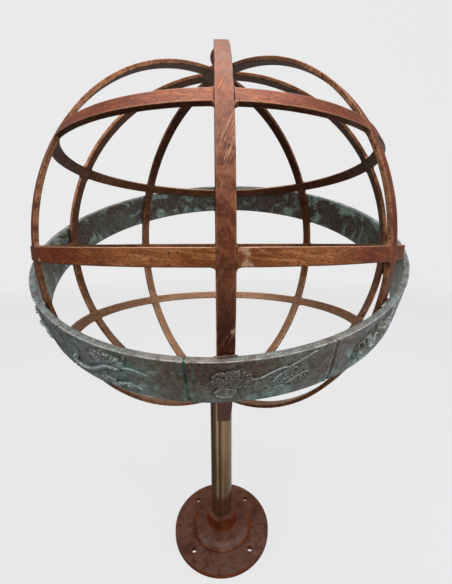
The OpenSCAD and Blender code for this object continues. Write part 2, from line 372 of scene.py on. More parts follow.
def rib_face(n, place, cloud, mottle, blot, up):
    """Reddish, scratched outer face. Gives its colour, painted shade, edge colour and edge strength."""
    stain = n.noise(n.along_bar((60.0, 110.0, 1.0), -0.3), 1.0, 6.0, 0.75, 0.5)
    scratch = n.noise(n.along_bar((17.0, 430.0, 1.0), 0.38), 1.0, 4.0, 0.65, 0.5)
    brush = n.noise(n.along_bar((55.0, 360.0, 1.0), -0.62), 1.0, 5.0, 0.75, 0.4)
    outer = n.ramp(cloud, (0.32, (112, 56, 32)), (0.5, (132, 78, 52)), (0.68, (140, 96, 78)))
    outer = n.layers(
        outer,
        # painted pale reflection on faces that look up
        (up, (0.56, 0.0), (0.80, 0.5), (146, 112, 102)),
        (mottle, (0.38, 0.8), (0.53, 0.0), (76, 34, 20)),
        (blot, (0.52, 0.0), (0.68, 0.3), (170, 114, 84)),
        (blot, (0.32, 0.35), (0.47, 0.0), (66, 32, 24)),
        (stain, (0.52, 0.0), (0.70, 0.5), (178, 124, 94)),
        (stain, (0.32, 0.7), (0.47, 0.0), (70, 36, 28)),
    )
    worn = n.ramp(n.noise(place, 26.0, 3.0, 0.6), (0.44, 0.15), (0.58, 1.0))
    outer = n.mix(n.times(worn, n.ramp(scratch, (0.56, 0.0), (0.66, 0.95))), outer, (210, 176, 154))
    outer = n.layer(outer, brush, (0.60, 0.0), (0.72, 0.45), (184, 128, 92))
    # painted shade: darker and redder where the bar turns under, a little dimmer on faces that look
    # straight up, and deeper gold where the face is seen at a slant
    painted_shade = n.ramp(up, (0.31, (250, 252, 252)), (0.335, (150, 136, 130)), (0.38, (144, 130, 122)),
                  (0.43, (176, 160, 144)), (0.50, (224, 200, 172)), (0.62, (246, 236, 222)),
                  (0.80, (174, 176, 180)))
    painted_shade = n.mix(n.ramp(n.grazing(), (0.15, 0.0), (0.5, 1.0)), painted_shade, (212, 150, 72))
    edge_wear_and_light = n.mix(n.ramp(mottle, (0.42, 0.0), (0.5, 1.0)), (56, 32, 26), (180, 138, 112))
    strength = n.ramp(mottle, (0.42, 0.7), (0.5, 0.4), (0.62, 0.6))
    return outer, painted_shade, edge_wear_and_light, strength


def worn_spots(n, outer, place, blot, speck):
    """Chipped patches down to bare metal."""
    for longitude, latitude, size in WORN_SPOTS:
        spot = CENTRE + R * outward(math.radians(latitude), math.radians(longitude))
        away = n.add("ShaderNodeVectorMath", operation="DISTANCE")
        n.feed(away.inputs[0], place)
        away.inputs[1].default_value = tuple(spot)
        ragged = n.math("ADD", n.math("DIVIDE", away.outputs["Value"], size * MM),
                        n.times(n.math("SUBTRACT", blot, 0.5), 5.0))
        patch = n.times(n.ramp(ragged, (0.7, 1.0), (1.0, 0.0)), n.ramp(speck, (0.44, 0.0), (0.54, 0.9)))
        outer = n.mix(patch, outer, (184, 150, 124))
    return outer


def inner_face(n, cloud, mottle, speck, up):
    """Sides and inner face of a bar: golden, hammered, with painted glints, paler where it faces up as
    painted light and darker where it faces down as painted shade.
    """
    inner = n.ramp(mottle, (0.32, (86, 48, 28)), (0.5, (132, 86, 56)), (0.68, (162, 116, 82)))
    inner = n.layers(
        inner,
        (cloud, (0.42, 0.6), (0.58, 0.0), (80, 46, 30)),
        (speck, (0.36, 0.8), (0.48, 0.0), (62, 34, 20)),
        # pale golden flecks are painted glints
        (speck, (0.57, 0.0), (0.70, 0.6), (214, 160, 106)),
        # painted shade where the bar faces down, painted light where it faces up
        (up, (0.30, 0.6), (0.50, 0.0), (66, 36, 20)),
        (up, (0.58, 0.0), (0.74, 0.45), (188, 148, 116)),
        (speck, (0.38, 0.6), (0.50, 0.0), (82, 52, 34)),
    )
    return inner


def brown_bronze(name, ring=False):
    """Brown patina on flat bar, with painted light and shade, for the ribs or for the rings."""
    n = Nodes(name)
    place = n.position()
    inside = n.attribute("inside")
    edge = n.attribute("edge")
    up = n.facing_up()
    cloud = n.noise(place, 8.0, 4.0, 0.6, 0.5)
    mottle = n.noise(place, 42.0, 5.0, 0.65, 0.7)
    blot = n.noise(place, 110.0, 3.0, 0.6, 0.6)
    speck = n.noise(place, 300.0, 5.0, 0.7, 0.4)
    if ring:
        outer, painted_shade, edge_wear_and_light, strength = ring_face(n, cloud, mottle, up)
    else:
        outer, painted_shade, edge_wear_and_light, strength = rib_face(n, place, cloud, mottle, blot, up)
    outer = n.mix(1.0, outer, painted_shade, "MULTIPLY")
    # painted pale reflection on faces that look down
    outer = n.layer(outer, up, (0.315, 0.5), (0.335, 0.0), (132, 116, 104))
    outer = worn_spots(n, outer, place, blot, speck)
    inner = inner_face(n, cloud, mottle, speck, up)
    patina_and_painted_light = n.mix(inside, outer, inner)
    patina_and_painted_light = n.layer(patina_and_painted_light, speck, (0.34, 0.4), (0.46, 0.0), (60, 32, 22))
    patina_and_painted_light = n.mix(n.times(edge, strength), patina_and_painted_light, edge_wear_and_light)
    patina_and_painted_light = n.mix(n.attribute("weld"), patina_and_painted_light, n.mix(speck, (62, 34, 22), (150, 96, 58)))
    outer_roughness = n.ramp(mottle, (0.3, 0.40), (0.7, 0.58))
    roughness = n.mix(inside, outer_roughness, n.ramp(speck, (0.35, 0.26), (0.65, 0.5)))
    metallic = n.math("ADD", 0.4, n.times(inside, 0.3))
    n.feed(n.shader.inputs["Specular IOR Level"], 0.3)
    return n.finish(patina_and_painted_light, roughness, metallic, n.bump(speck, 0.5, 0.0006))


def verdigris_bronze():
    """Cast bronze under verdigris: brown and olive ground, soft teal pools, painted highlights on the
    ridges and painted shade with teal patina in the hollows.
    """
    n = Nodes("verdigris_bronze")
    place = n.position()
    cloud = n.noise(place, 11.0, 4.0, 0.6, 0.6)
    olive = n.noise(n.position((1.0, 1.0, 1.7)), 17.0, 3.0, 0.6, 0.8)
    pool = n.noise(place, 20.0, 7.0, 0.68, 0.7)
    smear = n.noise(place, 64.0, 6.0, 0.72, 0.5)
    speckle = n.noise(place, 380.0, 5.0, 0.72)
    fine = n.noise(place, 1200.0, 2.0, 0.6)
    inside = n.attribute("inside")
    fringe = n.attribute("fringe")
    ground = n.ramp(cloud, (0.36, (100, 76, 58)), (0.50, (120, 112, 97)), (0.64, (132, 138, 131)))
    ground = n.layer(ground, olive, (0.56, 0.0), (0.70, 0.6), (108, 92, 56))
    dark_ground = n.ramp(cloud, (0.36, (68, 49, 44)), (0.5, (72, 62, 53)), (0.66, (86, 96, 90)))
    ground = n.mix(inside, ground, dark_ground)
    grain = n.noise(place, 190.0, 6.0, 0.78, 0.2)
    colour = n.layer(ground, grain, (0.36, 0.85), (0.48, 0.0), (38, 30, 24))
    colour = n.layer(colour, grain, (0.54, 0.0), (0.68, 0.65), (158, 166, 156))
    teal = n.mix(n.ramp(smear, (0.35, 0.0), (0.62, 1.0)), (84, 114, 104), (160, 188, 178))
    reach = n.math("ADD", pool, n.times(fringe, 0.13))
    colour = n.mix(n.ramp(reach, (0.54, 0.0), (0.62, 0.85)), colour, teal)
    colour = n.layer(colour, smear, (0.58, 0.0), (0.72, 0.5), (128, 146, 138))
    colour = n.layer(colour, speckle, (0.34, 0.6), (0.48, 0.0), (40, 34, 30))
    # hollows: near-black painted shade, and teal patina
    hollow_shade_and_patina = n.mix(n.ramp(smear, (0.46, 0.0), (0.6, 1.0)), (20, 18, 16), (40, 74, 66))
    colour = n.mix(n.attribute("hollow_shade_and_patina"), colour, hollow_shade_and_patina)
    # painted highlights on the ridges, broken up
    ridge_highlight = n.attribute("ridge_highlight")
    broken = n.times(ridge_highlight, n.ramp(n.noise(place, 420.0, 3.0, 0.6), (0.40, 0.15), (0.56, 1.0)))
    colour = n.mix(broken, colour, n.mix(speckle, (142, 160, 160), (232, 240, 246)))
    seam = n.attribute("seam")
    green = n.mix(n.ramp(smear, (0.4, 0.0), (0.6, 1.0)), (34, 66, 54), (98, 152, 132))
    colour = n.mix(seam, colour, green)
    pale = n.ramp(speckle, (0.32, (64, 64, 58)), (0.5, (94, 97, 90)), (0.68, (134, 142, 138)))
    pale = n.layers(
        pale,
        (cloud, (0.40, 0.5), (0.52, 0.0), (124, 104, 94)),
        (reach, (0.52, 0.0), (0.64, 0.6), (118, 144, 138)),
        (smear, (0.34, 0.8), (0.50, 0.0), (66, 54, 46)),
    )
    colour = n.mix(n.attribute("rim"), colour, pale)
    # painted highlight along the top edge of the outer face
    colour = n.mix(n.times(n.attribute("lip_highlight"), n.ramp(smear, (0.40, 0.1), (0.56, 0.5))), colour,
                   (190, 198, 198))
    # painted shade and reflection: blue-grey and darker where the outer face is seen at a slant, towards
    # the sides of the band
    side = n.mix(n.ramp(smear, (0.42, 0.0), (0.60, 1.0)), (58, 62, 68), (138, 146, 154))
    slant_shade = n.times(n.ramp(n.grazing(), (0.35, 0.0), (0.85, 0.8)), n.math("SUBTRACT", 1.0, inside))
    colour = n.mix(slant_shade, colour, side)
    # painted reflection: the inner face turns pale grey where it is seen at a slant
    slant_reflection = n.mix(n.ramp(smear, (0.42, 0.0), (0.60, 1.0)), (122, 120, 114), (164, 172, 168))
    colour = n.mix(n.times(n.ramp(n.grazing(), (0.55, 0.0), (0.85, 0.8)), inside), colour, slant_reflection)
    height = n.math("ADD", n.times(speckle, 0.7), n.times(fine, 0.3))
    roughness = n.ramp(cloud, (0.3, 0.42), (0.7, 0.62))
    return n.finish(colour, roughness, 0.3, n.bump(height, 0.6, 0.0006))


def dull_bronze():
    """Drawn tube, dull polished, with fine lines along its length."""
    n = Nodes("dull_bronze")
    line = n.noise(n.position((260.0, 260.0, 3.0)), 1.0, 4.0, 0.7)
    cloud = n.noise(n.position((16.0, 16.0, 6.0)), 1.0, 4.0)
    spot = n.noise(n.position(), 90.0, 5.0, 0.7)
    colour = n.ramp(cloud, (0.3, (128, 102, 74)), (0.55, (152, 126, 98)), (0.75, (166, 144, 118)))
    colour = n.layer(colour, line, (0.35, 0.4), (0.55, 0.0), (88, 64, 42))
    colour = n.layer(colour, spot, (0.60, 0.0), (0.74, 0.5), (96, 72, 50))
    roughness = n.ramp(line, (0.3, 0.10), (0.7, 0.17))
    return n.finish(colour, roughness, 0.92, n.bump(line, 0.12, 0.0003))


def braze_metal():
    """Rough braze, brown in the lumps with verdigris round them."""
    n = Nodes("braze")
    place = n.position()
    lump = n.noise(place, 120.0, 5.0, 0.65, 0.5)
    stain = n.noise(place, 30.0, 4.0, 0.6)
    colour = n.ramp(lump, (0.35, (58, 42, 36)), (0.55, (92, 72, 62)), (0.7, (130, 112, 98)))
    colour = n.layer(colour, stain, (0.46, 0.0), (0.6, 0.85), (142, 158, 152))
    return n.finish(colour, n.ramp(lump, (0.3, 0.35), (0.7, 0.6)), 0.5, n.bump(lump, 0.7, 0.0012))


def plain_metal(name, low, high, roughness):
    n = Nodes(name)
    grain = n.noise(n.position(), 240.0, 4.0, 0.6)
    turning = n.noise(n.position((4.0, 4.0, 900.0)), 1.0, 2.0)
    colour = n.ramp(grain, (0.35, low), (0.65, high))
    rough = n.ramp(turning, (0.3, roughness), (0.7, roughness + 0.18))
    return n.finish(colour, rough, 0.9, n.bump(turning, 0.12, 0.0002))


def stage_paper():
    """Pale paper that mostly glows by itself, so that it stays even."""
    n = Nodes("studio_paper")
    tone = n.noise(n.position(), 0.6, 2.0)
    n.feed(n.shader.inputs["Emission Color"], (1.0, 1.0, 1.0, 1.0))
    # the floor gets more light than the wall, so it glows less
    glow = n.ramp(n.facing_up(), (0.5, 0.775), (0.97, 0.755), (1.0, 0.712))
    n.feed(n.shader.inputs["Emission Strength"], glow)
    n.feed(n.shader.inputs["Specular IOR Level"], 0.0)
    return n.finish(n.ramp(tone, (0.3, 0.080), (0.7, 0.082)), 0.9, 0.0)


RIB_BROWN = brown_bronze("brown_bronze")
RING_BROWN = brown_bronze("golden_bronze", True)
VERDIGRIS = verdigris_bronze()
DULL = dull_bronze()
BEARING = plain_metal("bearing_bronze", (150, 112, 58), (184, 142, 84), 0.28)
STEEL = plain_metal("steel", (118, 116, 112), (168, 166, 160), 0.3)
BRAZE = braze_metal()


# ---- bars of the cage ----

CORNER = 1.3 * MM
FACE_STEPS = 12
SIDE_STEPS = 5
CORNER_STEPS = 3
STATION = 3.0 * MM
LAP_GAP = 0.1 * MM
# the rolled bar's unevenness: (share of the width lost, length of the wave)
WIDTH_WAVES = ((0.014, 70 * MM), (0.010, 17 * MM))
SINK, SINK_WAVE = 0.15 * MM, 90 * MM
# hammer marks and pits: depth and size
DENT, DENT_SIZE = 0.22 * MM, 16 * MM
PIT, PIT_SIZE = 0.45 * MM, 7 * MM
# fillets in the corners of the crossings
WELD_SIZE = 5.2 * MM
WELD_TUCK = 1.0 * MM
WELD_SUNK = 0.35 * MM
WELD_ROUGH, WELD_LUMP = 0.25 * MM, 4 * MM


def bar_section():
    """Rounded outline of the bar: (across, depth), with depth counted down from the outer face."""
    across, c = BAR_W / 2 - CORNER, CORNER
    centres = [(across, -c), (-across, -c), (-across, -BAR_T + c), (across, -BAR_T + c)]
    out_of_face = [(0, 1), (-1, 0), (0, -1), (1, 0)]
    points = []
    # outer face, left side, inner face, right side, each with the corner after it
    for face, steps in enumerate((FACE_STEPS, SIDE_STEPS, FACE_STEPS, SIDE_STEPS)):
        here, after = np.array(centres[face]), np.array(centres[(face + 1) % 4])
        first = here + c * np.array(out_of_face[face])
        points += [first + (after - here) * k / steps for k in range(steps)]
        for k in range(CORNER_STEPS):
            angle = math.radians(90 * ((face + 1) % 4) + 90 * k / CORNER_STEPS)
            points.append(after + c * np.array([math.cos(angle), math.sin(angle)]))
    return np.array(points)


SECTION = bar_section()
# 0 on the outer face, 1 on the sides and the inner face
SECTION_INSIDE = np.clip(-SECTION[:, 1] / CORNER, 0, 1)
# 1 on the long edges, 0 elsewhere
SECTION_EDGE = (
    np.maximum(0, np.abs(SECTION[:, 0]) / (BAR_W / 2) - 0.86) / 0.14
    * np.minimum(1, np.maximum(np.abs(SECTION[:, 1] + BAR_T / 2) / (BAR_T / 2) - 0.5, 0) * 2)
)


def from_lap(angles, lap):
    return np.abs((angles - lap + math.pi) % (2 * math.pi) - math.pi)


def stations(start, end, radius, laps, closed):
    """Angles along a bar, with close pairs where a lap begins and ends."""
    count = int(abs(end - start) * radius / STATION)
    base = np.linspace(start, end, count, endpoint=not closed)
    half, gap = BAR_W / 2 / radius, LAP_GAP / radius
    extra = [lap + side * (half + step) for lap in laps for side in (-1, 1) for step in (-gap, gap)]
    keep = np.ones(len(base), bool)
    for value in extra:
        keep &= from_lap(base, value) > STATION / 5 / radius
    return np.sort(np.concatenate([base[keep], extra]))


def in_lap(angles, laps, radius):
    return np.any([from_lap(angles, lap) < BAR_W / 2 / radius for lap in laps], 0)


def sweep_bar(name, angles, place, radius, laps, lap_keeps, closed, seed, material):
    """Sweeps the section. place(angles) gives the radial and across directions.

    At a lap the bar keeps only its outer or its inner half.
    """
    count, size = len(angles), len(SECTION)
    radial, across = (direction[:, None, :] for direction in place(angles))
    side, depth = SECTION[:, 0], np.repeat(SECTION[None, :, 1], count, 0)
    middle = -BAR_T / 2
    if lap_keeps == "outer":
        squeezed = np.maximum(depth, middle + LAP_GAP)
    else:
        squeezed = np.minimum(depth, middle - LAP_GAP)
    depth = np.where(in_lap(angles, laps, radius)[:, None], squeezed, depth)
    # the rolled bar is a little uneven in width and never quite at full radius
    along = angles * radius
    wave = np.stack([along, np.zeros(count), np.full(count, seed * 13.7)], -1)
    narrow = 1.0
    for k, (loss, length) in enumerate(WIDTH_WAVES):
        narrow = narrow - loss * (1 + noise(wave, length, seed + k))
    sink = SINK * (1 + noise(wave, SINK_WAVE, seed + 2))
    rho = R + depth - sink[:, None]
    points = CENTRE + rho[..., None] * radial + (side * narrow[:, None])[..., None] * across
    # hammer marks and pits only ever sink the skin
    on_side = np.abs(side) > BAR_W / 2 - CORNER
    on_face = np.abs(SECTION[:, 1] - middle) > BAR_T / 2 - CORNER
    inward = np.stack([-np.sign(side) * on_side, np.sign(middle - SECTION[:, 1]) * on_face], -1)
    inward = inward / np.maximum(np.linalg.norm(inward, axis=1), 1e-9)[:, None]
    dent = DENT * (1 + fractal(points, DENT_SIZE, 3, seed + 3)) / 2
    pits = np.maximum(0, noise(points, PIT_SIZE, seed + 9) - 0.45)
    dent += PIT * pits * (0.3 + SECTION_EDGE)
    points += dent[..., None] * (inward[:, 0, None] * across + inward[:, 1, None] * radial)
    if closed:
        faces = grid_faces(count, size, wrap_rows=True, wrap_columns=True)
    else:
        faces = capped_tube(count, size)
    obj = make_object(name, points.reshape(-1, 3), faces, material)
    around = np.concatenate([[0], np.cumsum(np.linalg.norm(np.diff(SECTION, axis=0), axis=1))])
    uv = np.stack(np.broadcast_arrays(along[:, None] + seed * 1.7, around + seed * 0.31), -1)
    set_uv(obj, uv.reshape(-1, 2))
    set_attribute(obj, "edge", np.broadcast_to(SECTION_EDGE, (count, size)))
    set_attribute(obj, "inside", np.broadcast_to(SECTION_INSIDE, (count, size)))
    return obj


def meridian_rib(name, longitude, seed):
    laps = list(RING_LATITUDES.values())
    angles = stations(-HUB_LATITUDE, HUB_LATITUDE, R, laps, False)

    def place(latitude):
        across = np.array([math.cos(longitude), math.sin(longitude), 0.0])
        return outward(latitude, longitude), np.broadcast_to(across, (len(latitude), 3))

    bar = sweep_bar(name + "_bar", angles, place, R, laps, "outer", False, seed, RIB_BROWN)
    put_on_cage(bar, name)


def latitude_ring(name, latitude, seed):
    radius = R * math.cos(latitude)
    laps = RIB_LONGITUDES
    angles = stations(-math.pi, math.pi, radius, laps, True)

    def place(longitude):
        across = outward(latitude + math.pi / 2, longitude)
        return outward(latitude, longitude), -across

    bar = sweep_bar(name + "_bar", angles, place, radius, laps, "inner", True, seed, RING_BROWN)
    put_on_cage(bar, name)


# ---- weld fillets in the corners of the crossings ----

def weld_fillet(latitude, longitude, sx, sy, size):
    """Points of one concave fillet, as rings from the outer face in."""
    arc_steps, deep_steps = 6, 4
    arc = np.radians(270 - 90 * np.arange(arc_steps + 1) / arc_steps)
    a = np.concatenate([[-WELD_TUCK, size], size + size * np.cos(arc), [-WELD_TUCK]])
    b = np.concatenate([[-WELD_TUCK, -WELD_TUCK], size + size * np.sin(arc), [size]])
    share = np.arange(deep_steps + 1)[:, None] / deep_steps
    pinch = 1 - 0.10 * np.abs(2 * share - 1)
    x, y = sx * (BAR_W / 2 + a * pinch), sy * (BAR_W / 2 + b * pinch)
    rho = R - WELD_SUNK - (BAR_T - 2 * WELD_SUNK) * share
    out = outward(latitude + y / R, longitude + x / (R * math.cos(latitude)))
    return CENTRE + rho[..., None] * out


def crossing_welds():
    """Four fillets to a crossing, a little rough and a little below the bar faces."""
    vertices, faces, start = [], [], 0
    rng = np.random.default_rng(SEED)
    corners = itertools.product(RING_LATITUDES.values(), RIB_LONGITUDES, (-1, 1), (-1, 1))
    for latitude, longitude, sx, sy in corners:
        rings = weld_fillet(latitude, longitude, sx, sy, WELD_SIZE * rng.uniform(0.75, 1.15))
        vertices.append(rings.reshape(-1, 3))
        tube = capped_tube(*rings.shape[:2], start)
        faces += tube if sx * sy > 0 else [face[::-1] for face in tube]
        start += len(vertices[-1])
    vertices = np.concatenate(vertices)
    vertices += WELD_ROUGH * shake(vertices, WELD_LUMP, 31)
    obj = make_object("crossing_welds", vertices, faces, RIB_BROWN)
    set_uv(obj, vertices[:, [2, 0]])
    set_attribute(obj, "edge", np.full(len(vertices), 0.4))
    set_attribute(obj, "weld", np.full(len(vertices), 0.8))
    put_on_cage(obj)


# ---- zodiac band ----

def band_point(angle, radius, height):
    angle, radius, height = np.broadcast_arrays(angle, radius, height)
    return (
        BAND_CENTRE
        + (radius * np.cos(angle))[..., None] * BAND_LOW
        + (radius * np.sin(angle))[..., None] * BAND_RIGHT
        + height[..., None] * BAND_AXIS
    )


def step_to(point, distance, angle):
    return point[0] + distance * math.cos(angle), point[1] + distance * math.sin(angle)


class Relief:
    """Height in mm over a panel, drawn with strokes, domes and curls. X runs right, Y up, in mm."""

    def __init__(self, x, y, seed):
        self.x, self.y = x, y
        self.step_x, self.step_y = x[1, 0] - x[0, 0], y[0, 1] - y[0, 0]
        self.h = np.zeros_like(x)
        self.ground = np.zeros_like(x)
        self.seed = seed
        self.bold = 1.65
        self.rng = np.random.default_rng(seed)

    def window(self, low, high):
        """Slices of the grid inside a box."""
        i0, i1 = int(low[0] / self.step_x), int(high[0] / self.step_x) + 2
        j0, j1 = int(low[1] / self.step_y), int(high[1] / self.step_y) + 2
        return slice(max(i0, 0), max(i1, 0)), slice(max(j0, 0), max(j1, 0))

    def curve(self, points, steps=8):
        """Smooth curve through a few points."""
        p = np.array(points, float)
        if len(p) < 3:
            return p
        ends = np.vstack([2 * p[0] - p[1], p, 2 * p[-1] - p[-2]])
        out = []
        for i in range(1, len(ends) - 2):
            a, b, c, d = ends[i - 1], ends[i], ends[i + 1], ends[i + 2]
            for t in np.arange(steps) / steps:
                out.append(0.5 * (2 * b + (c - a) * t + (2 * a - 5 * b + 4 * c - d) * t**2
                                  + (3 * b - a - 3 * c + d) * t**3))
        out.append(p[-1])
        return np.array(out)

    def stroke(self, points, width, height, end_width=None, steps=8):
        """A raised round stroke on the ground below it, tapering to end_width."""
        line = self.curve(points, steps)
        end_width = self.bold * (width if end_width is None else end_width)
        width, height = width * self.bold, height * self.bold
        reach = max(width, end_width) / 2 + self.step_x
        near = self.window(line.min(0) - reach, line.max(0) + reach)
        x, y = self.x[near], self.y[near]
        if not x.size:
            return
        best = np.zeros_like(x)
        total = len(line) - 1
        for k in range(total):
            a, d = line[k], line[k + 1] - line[k]
            t = np.clip(((x - a[0]) * d[0] + (y - a[1]) * d[1]) / max(d @ d, 1e-9), 0, 1)
            r = (width + (end_width - width) * (k + t) / total) / 2
            distance = np.hypot(x - a[0] - t * d[0], y - a[1] - t * d[1])
            best = np.maximum(best, np.clip(1 - (distance / np.maximum(r, 0.05)) ** 2, 0, 1) ** 0.6)
        raised = self.ground[near] + best * height
        self.h[near] = np.where(best > 0, np.maximum(self.h[near], raised), self.h[near])

    def settle(self):
        """What is drawn so far becomes the ground for the next strokes."""
        self.ground = self.h.copy()

    def inside(self, x, y, rx, ry, turn=0.0):
        """1 in the middle of an ellipse, 0 outside it."""
        c, s = math.cos(math.radians(turn)), math.sin(math.radians(turn))
        dx, dy = self.x - x, self.y - y
        u, v = (dx * c + dy * s) / rx, (-dx * s + dy * c) / ry
        ragged = 0.18 * noise(np.stack([self.x, self.y, self.x * 0], -1), 7.0, self.seed + 1)
        return np.clip(1 - u * u - v * v + ragged * (u * u + v * v > 0.2), 0, 1)

    def dome(self, x, y, rx, ry, height, turn=0.0, power=0.6):
        self.h = np.maximum(self.h, height * self.inside(x, y, rx, ry, turn) ** power)

    def curls(self, x, y, rx, ry, count, length, width, height, order=16.0):
        """Commas of hair over an ellipse; neighbours lean much the same way."""
        for _ in range(count):
            angle = self.rng.uniform(0, 2 * math.pi)
            share = math.sqrt(self.rng.uniform(0.0, 1))
            cx, cy = x + rx * share * math.cos(angle), y + ry * share * math.sin(angle)
            lean = 2.4 * math.pi * noise(np.array([cx, cy, 0.0]), order, self.seed)
            lean += self.rng.uniform(-0.6, 0.6)
            size = length * self.rng.uniform(0.55, 1.2)
            bend = self.rng.choice([-1, 1]) * self.rng.uniform(0.8, 2.2)
            mid = step_to((cx, cy), 0.5 * size, lean)
            tip = step_to(mid, 0.5 * size, lean + bend)
            tall = height * self.rng.uniform(0.5, 1.0)
            self.stroke([(cx, cy), mid, tip], width, tall, width * 0.5, 2)

    def crag(self, x, y, rx, ry, height, size=7.0, turn=0.0):
        """A rough lump, torn into ridges and pits."""
        share = self.inside(x, y, rx, ry, turn) ** 0.5
        place = np.stack([self.x, self.y, self.x * 0 + self.seed], -1)
        ridged = 1 - np.abs(fractal(place, size, 4, self.seed + 2)) * 3.4
        lumps = 0.6 + 0.8 * noise(place, 1.9 * size, self.seed + 3)
        rough = np.clip(lumps * (0.3 + 0.7 * ridged), 0, 1)
        self.h = np.maximum(self.h, self.ground + height * share * rough)

    def hatch(self, points, count, length, width, height, lean=60.0):
        """Short strokes that leave a curve on one side, like feathers or fingers."""
        line = self.curve(points)
        for k in range(count):
            share = (k + 0.5) / count * (len(line) - 1)
            i = min(int(share), len(line) - 2)
            p = line[i] + (line[i + 1] - line[i]) * (share - i)
            along = math.atan2(*(line[i + 1] - line[i])[::-1])
            angle = along + math.radians(lean + self.rng.uniform(-12, 12))
            size = length * self.rng.uniform(0.7, 1.15)
            mid = step_to(p, 0.5 * size, angle)
            tip = step_to(mid, 0.5 * size, angle - 0.5)
            self.stroke([p, mid, tip], width, height, width * 0.4, 2)

    def spiral(self, x, y, radius, turns, width, height, start=0.0, sense=1):
        points = []
        for k in range(int(10 * turns) + 1):
            share = k / (10 * turns)
            angle = math.radians(start) + sense * 2 * math.pi * turns * share
            points.append(step_to((x, y), radius * (1 - 0.85 * share), angle))
        self.stroke(points, width, height, width * 0.5, 3)


def lion(r):
    r.dome(62, 51, 30, 21, 1.5, 8)
    r.dome(52, 24, 17, 11, 1.3, 14)
    r.settle()
    r.curls(62, 51, 28, 19, 330, 5.0, 1.25, 1.0)
    r.stroke([(38, 26), (46, 34), (58, 34), (68, 27), (62, 18), (50, 16), (40, 20)], 1.5, 1.3, 1.0)
    r.curls(52, 24, 14, 8, 90, 4.0, 1.1, 0.9)
    r.stroke([(90, 50), (102, 51), (116, 58), (130, 64), (144, 64)], 1.7, 1.4, 1.9)
    r.stroke([(144, 64), (156, 71), (168, 76), (180, 83)], 2.0, 1.5, 0.9)
    r.stroke([(148, 66), (138, 58), (128, 50), (120, 40)], 2.0, 1.4, 1.0)
    r.stroke([(136, 50), (144, 56), (152, 60), (156, 52), (152, 46)], 1.3, 1.1, 0.8)
    r.dome(152, 36, 20, 11, 0.9, -16)
    r.settle()
    r.curls(150, 38, 20, 12, 70, 5.0, 1.1, 0.9)
    r.stroke([(134, 24), (144, 34), (156, 42), (170, 44), (176, 36)], 1.6, 1.2, 0.9)
    r.curls(132, 22, 9, 7, 24, 4.0, 1.1, 0.9)


def beast(r):
    r.crag(96, 63, 35, 14, 3.4, 7)
    r.crag(96, 15, 20, 8, 2.2, 5)
    r.crag(132, 20, 16, 6, 1.8, 5)
    body = [(22, 36), (26, 27), (36, 22), (48, 24), (62, 29), (76, 38), (90, 48), (104, 52), (116, 52)]
    r.stroke(body, 6.6, 2.2, 3.8)
    r.settle()
    r.stroke([(x, y + 2.8) for x, y in body], 2.3, 1.5)
    r.stroke([(x, y - 2.6) for x, y in body], 1.3, 0.8)
    r.spiral(25, 39, 5, 1.2, 1.8, 1.4, 200)
    r.hatch(body, 34, 4.5, 1.2, 1.1, 60)
    r.stroke([(110, 52), (120, 60), (128, 71), (131, 81)], 2.2, 1.6, 0.9)
    r.stroke([(112, 54), (124, 57), (140, 58), (161, 52)], 2.4, 1.7, 0.7)
    r.stroke([(64, 58), (76, 66), (94, 60), (112, 68)], 1.8, 1.3, 1.0)
    r.curls(96, 64, 31, 12, 84, 8.0, 1.8, 1.6)
    r.curls(96, 16, 19, 7, 34, 7.0, 1.8, 1.7)
    r.stroke([(118, 22), (128, 24), (140, 21), (146, 17)], 2.2, 1.7, 0.9)
    r.curls(134, 19, 13, 6, 20, 7.0, 1.7, 1.6)


def bull(r):
    r.dome(88, 48, 44, 22, 3.0, 24)
    r.settle()
    r.crag(66, 42, 26, 20, 8.5, 9, 24)
    r.crag(106, 58, 28, 18, 9.0, 9, 20)
    r.crag(88, 50, 32, 14, 7.0, 6, 32)
    r.crag(134, 62, 20, 13, 6.5, 8, 20)
    r.settle()
    # hide that sweeps up to the right, in rough folds
    for k in range(26):
        x, y = 46 + 3.4 * k + r.rng.uniform(-3, 3), 30 + 1.3 * k + r.rng.uniform(-14, 14)
        size = r.rng.uniform(9, 19)
        r.stroke([(x, y), (x + 0.5 * size, y + 0.42 * size), (x + size, y + 0.5 * size)],
                 r.rng.uniform(1.4, 2.6), r.rng.uniform(1.0, 2.0), 0.6)
    for x in (52, 66, 124, 136):
        r.stroke([(x, 34), (x + 4, 22), (x - 2, 11)], 2.4, 1.3, 1.2)
    r.stroke([(140, 56), (156, 60), (166, 50), (172, 40)], 1.6, 1.2, 1.0)


def ram(r):
    r.dome(96, 44, 42, 20, 2.4)
    r.dome(146, 56, 16, 12, 2.6)
    r.settle()
    r.curls(94, 46, 38, 17, 260, 4.5, 1.4, 1.2)
    r.spiral(144, 58, 14, 2.0, 3.0, 2.0, 150)
    for x in (68, 82, 114, 126):
        r.stroke([(x, 30), (x + 2, 18), (x + 1, 8)], 4.4, 1.8, 3.0)
    r.stroke([(156, 52), (166, 44), (162, 38)], 4.0, 1.8, 2.4)


def twins(r):
    for x, side in ((76, 1), (130, -1)):
        r.crag(x, 34, 13, 26, 4.6, 8)
        r.crag(x + side, 67, 9, 10, 4.8, 5)
        r.settle()
        r.stroke([(x, 50), (x + 16 * side, 44), (x + 27 * side, 54)], 3.4, 2.2, 2.0)
        r.stroke([(x, 50), (x - 14 * side, 40), (x - 20 * side, 26)], 3.4, 2.2, 2.0)
        r.hatch([(x - 8, 12), (x, 9), (x + 8, 12)], 8, 26, 1.4, 1.0, 90)
        r.curls(x + side, 71, 8, 6, 50, 3.0, 1.1, 0.9)


